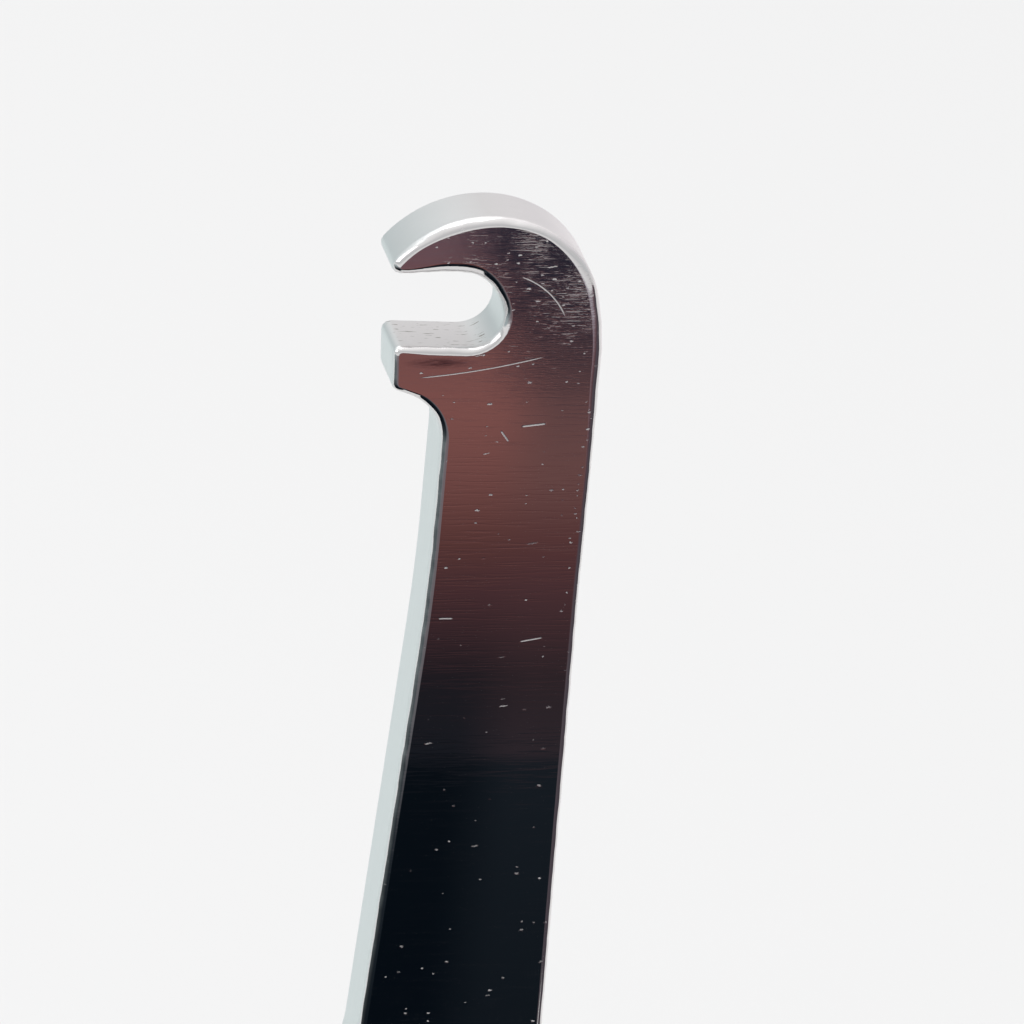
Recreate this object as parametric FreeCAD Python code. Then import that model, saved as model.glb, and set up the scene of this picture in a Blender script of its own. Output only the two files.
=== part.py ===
"""Divot repair tool: a one-piece steel plate with a side-opening hook at the top of a slim shank,
a round head that seats a magnetic ball marker, and a two-prong fork.

Frame, in millimetres: +Z runs up the tool from the prong tips to the hook, X runs across it with the
hook's mouth opening towards -X, and Y runs through the plate, with the front face towards -Y.
The origin is midway between the two prong tips, at mid thickness.
"""

import FreeCAD, Part

import math
import os

# ---- plate -----------------------------------------------------------------------------------------
overall_length = 120.0
plate_thickness = 4.0
front_edge_radius = 0.5
back_edge_radius = 0.25

# ---- hook ------------------------------------------------------------------------------------------
slot_width = 5.33           # roof to floor of the side slot
slot_end_offset = 2.11      # deepest point of the slot, left of the tool's axis
slot_roof_share = 0.66      # radius of the arc that ends the roof, as a share of the slot's width
slot_heel_share = 0.41      # radius of the tighter arc that ends the floor, as a share of it
crown_thickness = 4.03      # metal above the slot
crown_offset = 3.54         # highest point of the crown, left of the tool's axis
crown_radius = 7.88         # crown on the shank's side
beak_radius = 7.85          # crown on the beak's side
beak_tip_radius = 0.6
shoulder_radius = 20.0      # between the crown and the shank's right edge
jaw_reach = 9.25            # end of the lower jaw, left of the tool's axis
jaw_rise = 0.18             # the slot's floor rises this much to the jaw's end
jaw_thickness = 3.1         # height of the jaw's end face
jaw_undercut = 0.26         # the end face leans in by this much at its foot
jaw_drop = 1.4              # the jaw's underside falls this much to the neck
jaw_corner_radius = 0.55
neck_radius = 3.8           # between the jaw's underside and the shank

# ---- shank -----------------------------------------------------------------------------------------
neck_left = 5.41            # left edge under the jaw, from the tool's axis
neck_right = 4.82           # right edge at the same height
waist_width = 10.22         # narrowest place
waist_below_slot = 20.3
waist_radius = 150.0
foot_width = 12.56          # where the shank meets the head's blend
head_blend_radius = 10.0

# ---- ball marker and its seat ----------------------------------------------------------------------
marker_diameter = 20.0
marker_thickness = 1.5
marker_rim_width = 0.8
marker_ring_radius = 6.2    # middle of the inner metal ring
marker_wall_width = 0.6     # inner ring and sighting bar
marker_edge_radius = 0.2
enamel_depth = 0.4
dome_height = 0.35
dome_margin = 0.15          # bare rim outside the dome
seat_clearance = 0.15       # radial
seat_lip = 0.05             # the dome's top lies this far below the front face
seat_wall = 2.1             # metal round the seat
seat_edge_chamfer = 0.2
nail_radius = 4.5           # ball-ended scoop at the seat's edge, for a fingernail
nail_undercut = 0.25        # the scoop reaches this far below the marker's underside
nail_offset = 1.0           # middle of the scoop, outside the seat's edge

# ---- magnet ----------------------------------------------------------------------------------------
magnet_diameter = 12.0
magnet_thickness = 1.2
magnet_edge_chamfer = 0.12
magnet_clearance = 0.06     # radial
magnet_recess = 0.05        # the magnet's face lies this far below the seat's floor
adhesive_thickness = 0.1

# ---- fork ------------------------------------------------------------------------------------------
prong_length = 30.5         # tips to the top of the crotch
prong_gap = 8.5
prong_root_width = 4.1
prong_tip_width = 2.2
crotch_web = 4.0            # metal between the crotch and the seat
root_blend_radius = 9.0     # between the head and the prongs
tip_thickness = 1.8

# ---- places worked out from the sizes above --------------------------------------------------------
half_plate = plate_thickness / 2
seat_radius = marker_diameter / 2 + seat_clearance
seat_depth = seat_lip + dome_height + marker_thickness
pocket_radius = magnet_diameter / 2 + magnet_clearance
pocket_depth = magnet_recess + magnet_thickness + adhesive_thickness
head_radius = seat_radius + seat_wall
head_centre = (0.0, prong_length + crotch_web + seat_radius)
slot_height = overall_length - crown_thickness - slot_width / 2
roof = slot_height + slot_width / 2
floor = slot_height - slot_width / 2

marker_top = -half_plate + seat_lip + dome_height
seat_floor = -half_plate + seat_depth
magnet_face = seat_floor + magnet_recess
ring_inner = marker_ring_radius - marker_wall_width / 2
ring_outer = marker_ring_radius + marker_wall_width / 2
rim_inner = marker_diameter / 2 - marker_rim_width


# ---- plane geometry: a place on the plate is (x, z) -------------------------------------------------
def space(place, y=-half_plate):
    return FreeCAD.Vector(place[0], y, place[1])


def distance(a, b):
    return math.hypot(b[0] - a[0], b[1] - a[1])


def heading(start, end):
    """Unit direction from start to end."""
    span = distance(start, end)
    return ((end[0] - start[0]) / span, (end[1] - start[1]) / span)


def along(start, direction, reach):
    return (start[0] + direction[0] * reach, start[1] + direction[1] * reach)


def angle_of(centre, place):
    return math.atan2(place[1] - centre[1], place[0] - centre[0])


def on_circle(centre, radius, angle):
    return (centre[0] + radius * math.cos(angle), centre[1] + radius * math.sin(angle))


def foot_on_line(place, start, direction):
    """The point of a line that is nearest to place."""
    reach = (place[0] - start[0]) * direction[0] + (place[1] - start[1]) * direction[1]
    return along(start, direction, reach)


def tangent_place(start, centre, radius, side):
    """Where the line from start touches a circle, with side +1 or -1 for which of its two flanks."""
    spread = math.acos(radius / distance(start, centre))
    return on_circle(centre, radius, angle_of(centre, start) + side * spread)


def blend_centre(start, direction, radius, other_centre, other_distance, side, pick):
    """Centre of an arc that touches a line and lies at other_distance from another arc's centre.
    side is +1 for the left of the line, and pick is +1 for the place further along it."""
    offset_line = along(start, (-direction[1] * side, direction[0] * side), radius)
    nearest = foot_on_line(other_centre, offset_line, direction)
    reach = math.sqrt(other_distance ** 2 - distance(nearest, other_centre) ** 2)
    return along(nearest, direction, pick * reach)


def mirrored(place):
    return (-place[0], place[1])


class Outline:
    """A closed outline, drawn edge by edge."""

    def __init__(self, start):
        self.last = start
        self.edges = []

    def line(self, end):
        self.edges.append(Part.LineSegment(space(self.last), space(end)).toShape())
        self.last = end

    def arc(self, end, centre, turn):
        """Arc about centre to end. turn is -1 for clockwise and +1 for anticlockwise."""
        start_angle = angle_of(centre, self.last)
        sweep = (turn * (angle_of(centre, end) - start_angle)) % (2 * math.pi)
        middle = on_circle(centre, distance(centre, end), start_angle + turn * sweep / 2)
        self.edges.append(Part.Arc(space(self.last), space(middle), space(end)).toShape())
        self.last = end

    def corner(self, vertex, beyond, radius):
        """Line towards vertex, and an arc of radius into the line from there to beyond."""
        back, ahead = heading(vertex, self.last), heading(vertex, beyond)
        half_angle = math.acos(back[0] * ahead[0] + back[1] * ahead[1]) / 2
        inward = heading((0.0, 0.0), (back[0] + ahead[0], back[1] + ahead[1]))
        centre = along(vertex, inward, radius / math.sin(half_angle))
        start = along(vertex, back, radius / math.tan(half_angle))
        end = along(vertex, ahead, radius / math.tan(half_angle))
        self.line(start)
        middle = along(centre, inward, -radius)
        self.edges.append(Part.Arc(space(start), space(middle), space(end)).toShape())
        self.last = end

    def face(self):
        return Part.Face(Part.Wire(self.edges))


# ---- tool body: outline -----------------------------------------------------------------------------
def draw_crown(outline, neck, waist):
    """Beak, crown and shoulder, down to the shank's right edge."""
    beak_centre = (-crown_offset, overall_length - beak_radius)
    crown_centre = (-crown_offset, overall_length - crown_radius)
    down = heading(neck, waist)
    shoulder_centre = blend_centre(
        neck, down, shoulder_radius, crown_centre, shoulder_radius - crown_radius, side=-1, pick=1)
    outline.arc(beak_back(), beak_tip_centre(), turn=-1)
    outline.arc((-crown_offset, overall_length), beak_centre, turn=-1)
    outline.arc(along(crown_centre, heading(shoulder_centre, crown_centre), crown_radius),
                crown_centre, turn=-1)
    outline.arc(foot_on_line(shoulder_centre, neck, down), shoulder_centre, turn=-1)


def beak_tip_centre():
    """The beak's tip touches the slot's roof and the back of the beak."""
    beak_centre = (-crown_offset, overall_length - beak_radius)
    rise = roof + beak_tip_radius - beak_centre[1]
    reach = math.sqrt((beak_radius - beak_tip_radius) ** 2 - rise ** 2)
    return (beak_centre[0] - reach, beak_centre[1] + rise)


def beak_back():
    beak_centre = (-crown_offset, overall_length - beak_radius)
    return along(beak_centre, heading(beak_centre, beak_tip_centre()), beak_radius)


def right_half_of_head_and_fork(waist):
    """The points and arc centres from the shank's right edge to the top of the crotch."""
    to_blend = head_radius + head_blend_radius
    foot = (foot_width / 2,
            head_centre[1] + math.sqrt(to_blend ** 2 - (foot_width / 2 + head_blend_radius) ** 2))
    flare = heading(waist, foot)
    shank_blend = blend_centre(
        waist, flare, head_blend_radius, head_centre, to_blend, side=1, pick=-1)

    inner = prong_gap / 2
    tip_radius = prong_tip_width / 2
    crotch_height = prong_length - inner
    tip_centre = (inner + tip_radius, tip_radius)
    root = (inner + prong_root_width, crotch_height)
    tip_outer = tangent_place(root, tip_centre, tip_radius, side=-1)
    root_blend = blend_centre(root, heading(root, tip_outer), root_blend_radius,
                              head_centre, head_radius + root_blend_radius, side=1, pick=1)
    return {
        "foot": foot,
        "shank_end": foot_on_line(shank_blend, waist, flare),
        "shank_blend": shank_blend,
        "head_top": along(head_centre, heading(head_centre, shank_blend), head_radius),
        "head_bottom": along(head_centre, heading(head_centre, root_blend), head_radius),
        "root_blend": root_blend,
        "prong_top": foot_on_line(root_blend, root, heading(root, tip_outer)),
        "tip_outer": tip_outer,
        "tip_centre": tip_centre,
        "tip_inner": (inner, tip_radius),
        "crotch": (inner, crotch_height),
    }


def draw_head_and_fork(outline, right):
    """From the foot of the shank's right edge, round the fork, to the foot of its left edge."""
    left = {name: mirrored(place) for name, place in right.items()}
    outline.line(right["shank_end"])
    outline.arc(right["head_top"], right["shank_blend"], turn=1)
    outline.arc(right["head_bottom"], head_centre, turn=-1)
    outline.arc(right["prong_top"], right["root_blend"], turn=1)
    outline.line(right["tip_outer"])
    outline.arc(right["tip_inner"], right["tip_centre"], turn=-1)
    outline.line(right["crotch"])
    outline.arc(left["crotch"], (0.0, right["crotch"][1]), turn=1)
    outline.line(left["tip_inner"])
    outline.arc(left["tip_outer"], left["tip_centre"], turn=-1)
    outline.line(left["prong_top"])
    outline.arc(left["head_bottom"], left["root_blend"], turn=1)
    outline.arc(left["head_top"], head_centre, turn=-1)
    outline.arc(left["shank_end"], left["shank_blend"], turn=1)


def draw_jaw_and_slot(outline, neck, waist):
    """From the foot of the shank's left edge, round the lower jaw and the slot, to the beak's tip."""
    jaw_top = (-jaw_reach, floor + jaw_rise)
    jaw_foot = (-jaw_reach + jaw_undercut, jaw_top[1] - jaw_thickness)
    heel_radius = slot_heel_share * slot_width
    roof_radius = slot_roof_share * slot_width
    heel_centre = (-slot_end_offset - heel_radius, floor + heel_radius)
    rise = heel_centre[1] - (roof - roof_radius)
    roof_centre = (heel_centre[0] - math.sqrt((roof_radius - heel_radius) ** 2 - rise ** 2),
                   roof - roof_radius)
    heel_start = tangent_place(jaw_top, heel_centre, heel_radius, side=1)

    outline.corner(waist, neck, waist_radius)
    outline.corner(neck, jaw_foot, neck_radius)
    outline.corner(jaw_foot, jaw_top, jaw_corner_radius)
    outline.corner(jaw_top, heel_start, jaw_corner_radius)
    outline.line(heel_start)
    outline.arc(along(heel_centre, heading(roof_centre, heel_centre), heel_radius),
                heel_centre, turn=1)
    outline.arc((roof_centre[0], roof), roof_centre, turn=1)
    outline.line((beak_tip_centre()[0], roof))


def plate_face():
    """The whole outline, drawn clockwise from the beak's tip as seen from the front."""
    neck_height = floor + jaw_rise - jaw_thickness - jaw_drop
    waist_height = slot_height - waist_below_slot
    neck = {"left": (-neck_left, neck_height), "right": (neck_right, neck_height)}
    waist = {"left": (-waist_width / 2, waist_height), "right": (waist_width / 2, waist_height)}
    right = right_half_of_head_and_fork(waist["right"])

    outline = Outline((beak_tip_centre()[0], roof))
    draw_crown(outline, neck["right"], waist["right"])
    outline.corner(waist["right"], right["foot"], waist_radius)
    draw_head_and_fork(outline, right)
    draw_jaw_and_slot(outline, neck["left"], waist["left"])
    return outline.face()


# ---- tool body: solid -------------------------------------------------------------------------------
def side_profile():
    """The plate seen from the side, hollow-ground thinner from the crotch down to the prong tips."""
    half_tip = tip_thickness / 2
    relief = half_plate - half_tip
    grind_radius = (prong_length ** 2 + relief ** 2) / (2 * relief)

    def edge_point(side, z):
        depth = 0.0 if z >= prong_length else (
            grind_radius - math.sqrt(grind_radius ** 2 - (prong_length - z) ** 2))
        return FreeCAD.Vector(-head_radius, side * (half_plate - depth), z)

    edges = []
    for side in (-1, 1):
        edges.append(Part.LineSegment(edge_point(side, overall_length),
                                      edge_point(side, prong_length)).toShape())
        edges.append(Part.Arc(edge_point(side, prong_length), edge_point(side, prong_length / 2),
                              edge_point(side, 0.0)).toShape())
    for z in (0.0, overall_length):
        edges.append(Part.LineSegment(edge_point(-1, z), edge_point(1, z)).toShape())
    wire = Part.Wire(Part.__sortEdges__(edges))
    return Part.Face(wire).extrude(FreeCAD.Vector(2 * head_radius, 0, 0))


def outer_edges(shape, side):
    """Edges where the front (side -1) or the back (side +1) meets the plate's walls."""
    found = []
    for edge in shape.Edges:
        middle = edge.valueAt((edge.FirstParameter + edge.LastParameter) / 2)
        through = []
        for face in shape.ancestorsOfType(edge, Part.Face):
            u, v = face.Surface.parameter(middle)
            through.append(face.normalAt(u, v).y)
        if min(abs(y) for y in through) < 0.5 and max(side * y for y in through) > 0.9:
            found.append(edge)
    return found


def disc(radius, y_from, y_to, centre=head_centre):
    """A round disc whose axis runs through the plate."""
    return Part.makeCylinder(radius, y_to - y_from, space(centre, y_from), FreeCAD.Vector(0, 1, 0))


def seat_space():
    """Everything cut out of the head: the marker's seat, the magnet's pocket and the nail scoop."""
    seat = disc(seat_radius, -plate_thickness, seat_floor)
    chamfer = Part.makeCone(seat_radius + seat_edge_chamfer, seat_radius, seat_edge_chamfer,
                            space(head_centre), FreeCAD.Vector(0, 1, 0))
    pocket = disc(pocket_radius, seat_floor, seat_floor + pocket_depth)
    scoop_centre = (head_centre[0], head_centre[1] + seat_radius + nail_offset)
    scoop = Part.makeSphere(nail_radius, space(scoop_centre, seat_floor + nail_undercut - nail_radius))
    return seat.fuse([chamfer, pocket, scoop])


def make_tool_body():
    plate = plate_face().extrude(FreeCAD.Vector(0, plate_thickness, 0))
    plate = plate.common(side_profile())
    plate = plate.makeFillet(front_edge_radius, outer_edges(plate, -1))
    plate = plate.makeFillet(back_edge_radius, outer_edges(plate, 1))
    return plate.cut(seat_space())


# ---- magnet and its bond ----------------------------------------------------------------------------
def make_seat_magnet():
    magnet = disc(magnet_diameter / 2, magnet_face, magnet_face + magnet_thickness)
    rims = [edge for edge in magnet.Edges if type(edge.Curve) is Part.Circle]
    return magnet.makeChamfer(magnet_edge_chamfer, rims)


def make_magnet_adhesive():
    magnet_back = magnet_face + magnet_thickness
    bond_radius = magnet_diameter / 2 - magnet_edge_chamfer
    return disc(bond_radius, magnet_back, magnet_back + adhesive_thickness)


# ---- ball marker ------------------------------------------------------------------------------------
def enamel_band():
    """The ring of enamel between the coin's rim and its inner metal ring."""
    bottom = marker_top + enamel_depth
    return disc(rim_inner, marker_top, bottom).cut(disc(ring_outer, marker_top, bottom))


def enamel_field():
    """The two half discs of enamel inside the ring, either side of the sighting bar."""
    bar = Part.makeBox(marker_wall_width, enamel_depth, 2 * ring_outer,
                       space((-marker_wall_width / 2, head_centre[1] - ring_outer), marker_top))
    halves = disc(ring_inner, marker_top, marker_top + enamel_depth).cut(bar)
    return Part.makeCompound(halves.Solids)


def make_marker_coin():
    coin = disc(marker_diameter / 2, marker_top, seat_floor)
    rims = [edge for edge in coin.Edges if type(edge.Curve) is Part.Circle]
    coin = coin.makeFillet(marker_edge_radius, rims)
    return coin.cut(enamel_band()).cut(enamel_field())


def make_marker_dome():
    """A clear resin cap over the enamel, thickest in the middle."""
    base_radius = marker_diameter / 2 - marker_edge_radius - dome_margin
    cap_radius = (base_radius ** 2 + dome_height ** 2) / (2 * dome_height)
    ball = Part.makeSphere(cap_radius, space(head_centre, marker_top - dome_height + cap_radius))
    return ball.common(disc(base_radius, marker_top - 2 * dome_height, marker_top))


SUB_PARTS = {
    "tool_body": make_tool_body,
    "seat_magnet": make_seat_magnet,
    "magnet_adhesive": make_magnet_adhesive,
    "marker_coin": make_marker_coin,
    "marker_enamel_band": enamel_band,
    "marker_enamel_field": enamel_field,
    "marker_dome": make_marker_dome,
}


def main():
    os.makedirs("parts", exist_ok=True)
    for name, make in SUB_PARTS.items():
        shape = make()
        shape.exportStep(f"parts/{name}.step")
        box = shape.BoundBox
        print(f"{name}: valid {shape.isValid()}, {len(shape.Solids)} solid(s), "
              f"{shape.Volume:.1f} mm3, {box.XLength:.2f} x {box.YLength:.2f} x {box.ZLength:.2f} mm")


main()
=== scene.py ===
# %% [markdown]
# # A polished steel divot tool with its ball marker
# A divot tool mends the dent that a ball leaves in a green. This one is cut from a single 4 mm steel
# plate: a hook with a side slot at the top, a slim shank, a round head that holds a magnetic ball
# marker, and a two-prong fork. The engineering model is already fixed, so this lesson only makes the
# pieces look real: it rebuilds each surface finely at the place that the model gives, and finishes it.

# %% Load the engineering model
import math

import bmesh
import bpy
from mathutils import Matrix, Vector


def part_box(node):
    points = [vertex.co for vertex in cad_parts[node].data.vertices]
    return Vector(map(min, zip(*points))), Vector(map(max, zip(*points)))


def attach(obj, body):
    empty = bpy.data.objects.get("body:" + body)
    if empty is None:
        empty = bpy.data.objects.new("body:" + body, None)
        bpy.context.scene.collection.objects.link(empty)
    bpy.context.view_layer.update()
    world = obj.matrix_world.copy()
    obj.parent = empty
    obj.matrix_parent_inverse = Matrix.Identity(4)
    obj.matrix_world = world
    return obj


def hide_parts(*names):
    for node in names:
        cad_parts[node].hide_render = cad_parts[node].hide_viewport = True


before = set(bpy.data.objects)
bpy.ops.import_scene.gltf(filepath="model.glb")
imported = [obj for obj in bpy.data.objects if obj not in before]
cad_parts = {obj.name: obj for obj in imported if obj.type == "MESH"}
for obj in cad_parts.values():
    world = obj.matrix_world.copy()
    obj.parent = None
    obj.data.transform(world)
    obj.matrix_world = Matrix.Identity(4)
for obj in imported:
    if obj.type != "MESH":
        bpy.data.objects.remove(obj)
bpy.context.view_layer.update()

print("nodes:", sorted(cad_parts))

# %% [markdown]
# ## Units and the places that the model gives
# Blender works in metres and this tool is drawn in millimetres, so one constant turns one into the
# other. Places come from the model's own pieces: the head's centre is the middle of the coin, and the
# heights of the seat's floor and of the magnet are read from the boxes of the coin and the magnet.
# Only the shapes of curves are repeated here as sizes.

# %% Places read from the model
MM = 0.001


def box_mm(node):
    """Lowest and highest corner of a node, in millimetres."""
    low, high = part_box(node)
    return low / MM, high / MM


body_high = box_mm("tool_body")[1]
coin_low, coin_high = box_mm("marker_coin")
dome_low, dome_high = box_mm("marker_dome")
band_high = box_mm("marker_enamel_band")[1]
field_high = box_mm("marker_enamel_field")[1]
magnet_low, magnet_high = box_mm("seat_magnet")
bond_low, bond_high = box_mm("magnet_adhesive")

overall_length = body_high.z
half_plate = body_high.y
head_centre = Vector((0.0, 0.0, (coin_low.z + coin_high.z) / 2))
head_radius = body_high.x
coin_radius = coin_high.x
marker_top = coin_low.y
seat_floor = coin_high.y
print(f"length {overall_length:.1f}, head centre at {head_centre.z:.2f}, coin radius {coin_radius:.2f} mm")

# %% [markdown]
# ## The plate's outline
# The real blank is cut from sheet along straight runs and arcs. Drawing it the same way keeps every
# curve true: the pen below knows how to draw a line and an arc, and the places where they meet are
# worked out from a few sizes, so that each arc flows into its neighbour with no corner.

# %% Sizes of the outline, in millimetres
slot_width = 5.33
slot_end = -2.11            # deepest point of the slot
roof_share = 0.66           # radii of the slot's two arcs, as shares of its width
heel_share = 0.41
crown_thickness = 4.03
crown_x = -3.54             # highest point of the crown
crown_radius = 7.88
beak_radius = 7.85
beak_tip_radius = 0.6
shoulder_radius = 20.0
jaw_end = -9.25
jaw_rise = 0.18
jaw_thickness = 3.1
jaw_undercut = 0.26
jaw_drop = 1.4
jaw_corner = 0.55
neck_radius = 3.8
neck_x = {"left": -5.41, "right": 4.82}
waist_width = 10.22
waist_below_slot = 20.3
waist_radius = 150.0
foot_width = 12.56
head_blend = 10.0
prong_length = 30.5
prong_gap = 8.5
prong_root = 4.1
prong_tip = 2.2
root_blend = 9.0
tip_thickness = 1.8
front_rounding = 0.5
back_rounding = 0.25

slot_height = overall_length - crown_thickness - slot_width / 2
roof = slot_height + slot_width / 2
floor = slot_height - slot_width / 2
print(f"slot from {floor:.2f} to {roof:.2f} mm")


# %% Plane geometry: a place on the plate is (x, z) in millimetres
def heading(start, end):
    """Unit direction from start to end."""
    span = math.dist(start, end)
    return ((end[0] - start[0]) / span, (end[1] - start[1]) / span)


def along(start, direction, reach):
    return (start[0] + direction[0] * reach, start[1] + direction[1] * reach)


def foot_on_line(place, start, direction):
    """The point of a line that is nearest to place."""
    reach = (place[0] - start[0]) * direction[0] + (place[1] - start[1]) * direction[1]
    return along(start, direction, reach)


def tangent_place(start, centre, radius, side):
    """Where the line from start touches a circle, on its +1 or -1 flank."""
    turn = math.atan2(start[1] - centre[1], start[0] - centre[0])
    turn += side * math.acos(radius / math.dist(start, centre))
    return (centre[0] + radius * math.cos(turn), centre[1] + radius * math.sin(turn))


def blend_centre(start, direction, radius, other, reach, side, pick):
    """Centre of an arc that touches a line and lies at a known reach from another arc's centre."""
    offset_line = along(start, (-direction[1] * side, direction[0] * side), radius)
    nearest = foot_on_line(other, offset_line, direction)
    return along(nearest, direction, pick * math.sqrt(reach ** 2 - math.dist(nearest, other) ** 2))


def mirrored(place):
    return (-place[0], place[1])


print("a slope of 3 across and 4 up heads", heading((0, 0), (3, 4)))

# %% [markdown]
# ## The pen
# A pen is a mesh of one vertex that is extruded onwards: a straight run is one extrude, and an arc is
# one spin about its centre. The last vertex stays selected, so each stroke starts where the one
# before ended.

# %% A pen that draws lines and arcs
STROKE = 0.4                # length of one step of an arc, in millimetres


class Pen:
    def __init__(self, name, start):
        if bpy.context.mode != "OBJECT":
            bpy.ops.object.mode_set(mode="OBJECT")
        bpy.ops.object.select_all(action="DESELECT")
        bpy.ops.mesh.primitive_plane_add(size=MM)
        self.piece = bpy.context.object
        self.piece.name = name
        self.piece.data.name = name
        bpy.ops.object.mode_set(mode="EDIT")
        bpy.ops.mesh.select_mode(type="VERT")
        bpy.ops.mesh.merge(type="CENTER")
        self.here = start
        bpy.ops.transform.translate(value=(start[0] * MM, -half_plate * MM, start[1] * MM))

    def line(self, end):
        step = ((end[0] - self.here[0]) * MM, 0.0, (end[1] - self.here[1]) * MM)
        bpy.ops.mesh.extrude_region_move(TRANSFORM_OT_translate={"value": step})
        self.here = end

    def arc(self, end, centre, turn):
        """Arc about centre to end. turn is -1 for clockwise, seen from the front, or else +1."""
        first = math.atan2(self.here[1] - centre[1], self.here[0] - centre[0])
        last = math.atan2(end[1] - centre[1], end[0] - centre[0])
        sweep = (turn * (last - first)) % (2 * math.pi)
        steps = max(2, math.ceil(sweep * math.dist(centre, end) / STROKE))
        bpy.ops.mesh.spin(steps=steps, angle=turn * sweep, axis=(0, 1, 0),
                          center=(centre[0] * MM, -half_plate * MM, centre[1] * MM))
        self.here = end

    def corner(self, vertex, beyond, radius):
        """Line towards vertex, then an arc of this radius into the line from there to beyond."""
        back, ahead = heading(vertex, self.here), heading(vertex, beyond)
        half = math.acos(back[0] * ahead[0] + back[1] * ahead[1]) / 2
        inward = heading((0.0, 0.0), (back[0] + ahead[0], back[1] + ahead[1]))
        self.line(along(vertex, back, radius / math.tan(half)))
        side = back[0] * ahead[1] - back[1] * ahead[0]
        self.arc(along(vertex, ahead, radius / math.tan(half)),
                 along(vertex, inward, radius / math.sin(half)), turn=1 if side < 0 else -1)


print("pen step", STROKE, "mm")

# %% [markdown]
# ## Drawing the blank
# The pen starts at the beak's tip and goes clockwise: over the crown, down the shank's right edge,
# round the head and both prongs, up the left edge, and round the jaw and the slot back to the beak.

# %% The places where the arcs meet
neck_height = floor + jaw_rise - jaw_thickness - jaw_drop
waist_height = slot_height - waist_below_slot
neck = {side: (x, neck_height) for side, x in neck_x.items()}
waist = {"left": (-waist_width / 2, waist_height), "right": (waist_width / 2, waist_height)}
head = (0.0, head_centre.z)

beak_centre = (crown_x, overall_length - beak_radius)
tip_rise = roof + beak_tip_radius - beak_centre[1]
tip_centre = (crown_x - math.sqrt((beak_radius - beak_tip_radius) ** 2 - tip_rise ** 2),
              beak_centre[1] + tip_rise)
crown_centre = (crown_x, overall_length - crown_radius)
right_down = heading(neck["right"], waist["right"])
shoulder_centre = blend_centre(neck["right"], right_down, shoulder_radius, crown_centre,
                               shoulder_radius - crown_radius, side=-1, pick=1)

to_blend = head_radius + head_blend
foot = (foot_width / 2, head[1] + math.sqrt(to_blend ** 2 - (foot_width / 2 + head_blend) ** 2))
flare = heading(waist["right"], foot)
shank_blend = blend_centre(waist["right"], flare, head_blend, head, to_blend, side=1, pick=-1)
inner = prong_gap / 2
tip_radius = prong_tip / 2
root = (inner + prong_root, prong_length - inner)
prong_end = (inner + tip_radius, tip_radius)
prong_foot = tangent_place(root, prong_end, tip_radius, side=-1)
prong_down = heading(root, prong_foot)
root_centre = blend_centre(root, prong_down, root_blend, head, head_radius + root_blend,
                           side=1, pick=1)

jaw_top = (jaw_end, floor + jaw_rise)
jaw_foot = (jaw_end + jaw_undercut, jaw_top[1] - jaw_thickness)
heel_radius = heel_share * slot_width
roof_radius = roof_share * slot_width
heel_centre = (slot_end - heel_radius, floor + heel_radius)
roof_centre = (heel_centre[0] - math.sqrt((roof_radius - heel_radius) ** 2
                                          - (heel_centre[1] - roof + roof_radius) ** 2),
               roof - roof_radius)
heel_start = tangent_place(jaw_top, heel_centre, heel_radius, side=1)
print(f"jaw ends at x {jaw_top[0]:.2f}, heel radius {heel_radius:.2f} mm")

# %% Draw the blank's edge
right = {
    "shank_end": foot_on_line(shank_blend, waist["right"], flare),
    "shank_blend": shank_blend,
    "head_top": along(head, heading(head, shank_blend), head_radius),
    "head_bottom": along(head, heading(head, root_centre), head_radius),
    "root_centre": root_centre,
    "prong_top": foot_on_line(root_centre, root, prong_down),
    "prong_foot": prong_foot,
    "prong_end": prong_end,
    "prong_inner": (inner, tip_radius),
    "crotch": (inner, root[1]),
}
left = {name: mirrored(place) for name, place in right.items()}

pen = Pen("steel_plate", (tip_centre[0], roof))
pen.arc(along(beak_centre, heading(beak_centre, tip_centre), beak_radius), tip_centre, turn=-1)
pen.arc((crown_x, overall_length), beak_centre, turn=-1)
crown_end = along(crown_centre, heading(shoulder_centre, crown_centre), crown_radius)
pen.arc(crown_end, crown_centre, turn=-1)
pen.arc(foot_on_line(shoulder_centre, neck["right"], right_down), shoulder_centre, turn=-1)
pen.corner(waist["right"], foot, waist_radius)
pen.line(right["shank_end"])
pen.arc(right["head_top"], right["shank_blend"], turn=1)
pen.arc(right["head_bottom"], head, turn=-1)
pen.arc(right["prong_top"], right["root_centre"], turn=1)
pen.line(right["prong_foot"])
pen.arc(right["prong_inner"], right["prong_end"], turn=-1)
pen.line(right["crotch"])
pen.arc(left["crotch"], (0.0, root[1]), turn=1)
pen.line(left["prong_inner"])
pen.arc(left["prong_foot"], left["prong_end"], turn=-1)
pen.line(left["prong_top"])
pen.arc(left["head_bottom"], left["root_centre"], turn=1)
pen.arc(left["head_top"], head, turn=-1)
pen.arc(left["shank_end"], left["shank_blend"], turn=1)
pen.corner(waist["left"], neck["left"], waist_radius)
pen.corner(neck["left"], jaw_foot, neck_radius)
pen.corner(jaw_foot, jaw_top, jaw_corner)
pen.corner(jaw_top, heel_start, jaw_corner)
pen.line(heel_start)
pen.arc(along(heel_centre, heading(roof_centre, heel_centre), heel_radius), heel_centre, turn=1)
pen.arc((roof_centre[0], roof), roof_centre, turn=1)
pen.line((tip_centre[0], roof))
plate = pen.piece
bpy.ops.mesh.select_all(action="SELECT")
bpy.ops.mesh.remove_doubles(threshold=0.01 * MM)
print("outline:", len(bmesh.from_edit_mesh(plate.data).edges), "edges")


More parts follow.
